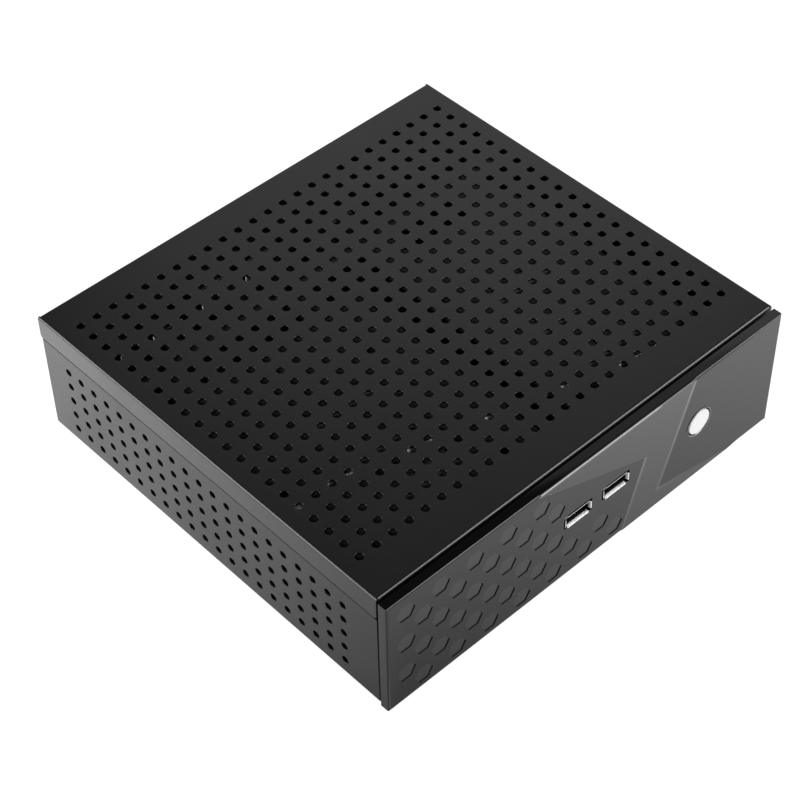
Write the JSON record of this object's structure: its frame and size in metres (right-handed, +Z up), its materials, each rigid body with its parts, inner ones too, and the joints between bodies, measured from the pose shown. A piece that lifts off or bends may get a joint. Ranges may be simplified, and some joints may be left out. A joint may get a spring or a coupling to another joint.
{
  "type": "mini pc",
  "caption": "Slim desktop mini PC: perforated sheet-steel case with lift-off lid, gloss front panel with sockets and power button, and mini-ITX electronics inside.",
  "frame": {"origin": "centre of the footprint, on the plane the rubber feet rest on", "axes": "+Z up; -Y is the front panel side, +Y the port side; +X is to the right seen from the front"},
  "size_m": [0.2104, 0.2014, 0.0627],
  "materials": {
    "case_steel": "fine-textured black powder coat",
    "lid_steel": "satin black powder coat",
    "rubber": "matt moulded rubber",
    "dark_screw": "black oxide",
    "zinc_screw": "zinc plated",
    "shield_steel": "black painted steel",
    "panel_gloss": "piano-black moulded plastic",
    "button_ring": "satin chrome",
    "button_white": "white translucent cap",
    "switch_plastic": "moulded",
    "circuit_board": "solder mask",
    "led_lens": "clear",
    "socket_metal": "nickel plated",
    "port_metal": "dull tinned steel",
    "socket_plastic": "moulded",
    "contact_gold": "gold flash",
    "bracket_steel": "satin",
    "drive_case": "anodised dark grey",
    "main_board": "black solder mask",
    "brass_standoff": "turned",
    "socket_frame": "stamped",
    "processor_lid": "nickel plated",
    "heatsink_aluminium": "extruded",
    "fan_plastic": "moulded",
    "rotor_plastic": "moulded",
    "slot_plastic": "moulded",
    "memory_board": "solder mask and chips",
    "cell_steel": "stamped",
    "capacitor_can": "sleeved can",
    "cable_jacket": "extruded jacket",
    "lead_jacket": "extruded jacket"
  },
  "bodies": {
    "case": {"chassis_tray": "case_steel", "rubber_feet": "rubber", "lid_screws": "dark_screw", "io_shield": "shield_steel", "front_bezel": "panel_gloss", "bezel_screws": "zinc_screw", "button_ring": "button_ring", "tactile_switch": "switch_plastic", "switch_board": "circuit_board", "status_led": "led_lens", "switch_board_screws": "zinc_screw", "front_usb_shell_left": "socket_metal", "front_usb_shell_right": "socket_metal", "front_usb_insert_left": "socket_plastic", "front_usb_insert_right": "socket_plastic", "front_usb_contacts": "contact_gold", "front_usb_board": "circuit_board", "usb_board_screws": "zinc_screw", "cross_brace": "bracket_steel", "drive_bracket_left": "bracket_steel", "drive_bracket_right": "bracket_steel", "bracket_screws": "zinc_screw", "drive_left": "drive_case", "drive_right": "drive_case", "drive_screws": "zinc_screw", "motherboard": "main_board", "board_standoffs": "brass_standoff", "board_screws": "zinc_screw", "cpu_socket": "socket_frame", "processor": "processor_lid", "heatsink": "heatsink_aluminium", "fan_frame": "fan_plastic", "fan_screws": "dark_screw", "memory_slot_inner": "slot_plastic", "memory_slot_outer": "slot_plastic", "memory_module_inner": "memory_board", "memory_module_outer": "memory_board", "m2_drive": "memory_board", "m2_socket": "slot_plastic", "chipset_heatsink": "heatsink_aluminium", "battery_holder": "slot_plastic", "coin_cell": "cell_steel", "board_capacitors": "capacitor_can", "sata_port_left": "slot_plastic", "sata_port_right": "slot_plastic", "dc_jack": "socket_plastic", "hdmi_port": "port_metal", "rear_usb_stack_left": "port_metal", "rear_usb_stack_right": "port_metal", "lan_jack": "port_metal", "display_port": "port_metal", "drive_cable_left": "cable_jacket", "drive_cable_right": "cable_jacket", "front_usb_cable": "cable_jacket", "power_lead": "lead_jacket", "fan_cable": "lead_jacket"},
    "lid": {"lid": "lid_steel"},
    "button": {"power_button": "button_white", "switch_plunger": "switch_plastic"},
    "rotor": {"fan_rotor": "rotor_plastic"}
  },
  "joints": [
    {"name": "lid_lift", "type": "slide", "parent": "case", "child": "lid", "axis": [0, 0, 1], "range_m": [0, 0.09]},
    {"name": "power_press", "type": "slide", "parent": "case", "child": "button", "axis": [0, 1, 0], "range_m": [0, 0.0004], "stiffness_N_per_m": 4000},
    {"name": "fan_spin", "type": "hinge", "parent": "case", "child": "rotor", "pos_m": [0.005, 0.024, 0.03], "axis": [0, 0, 1], "continuous": true}
  ]
}
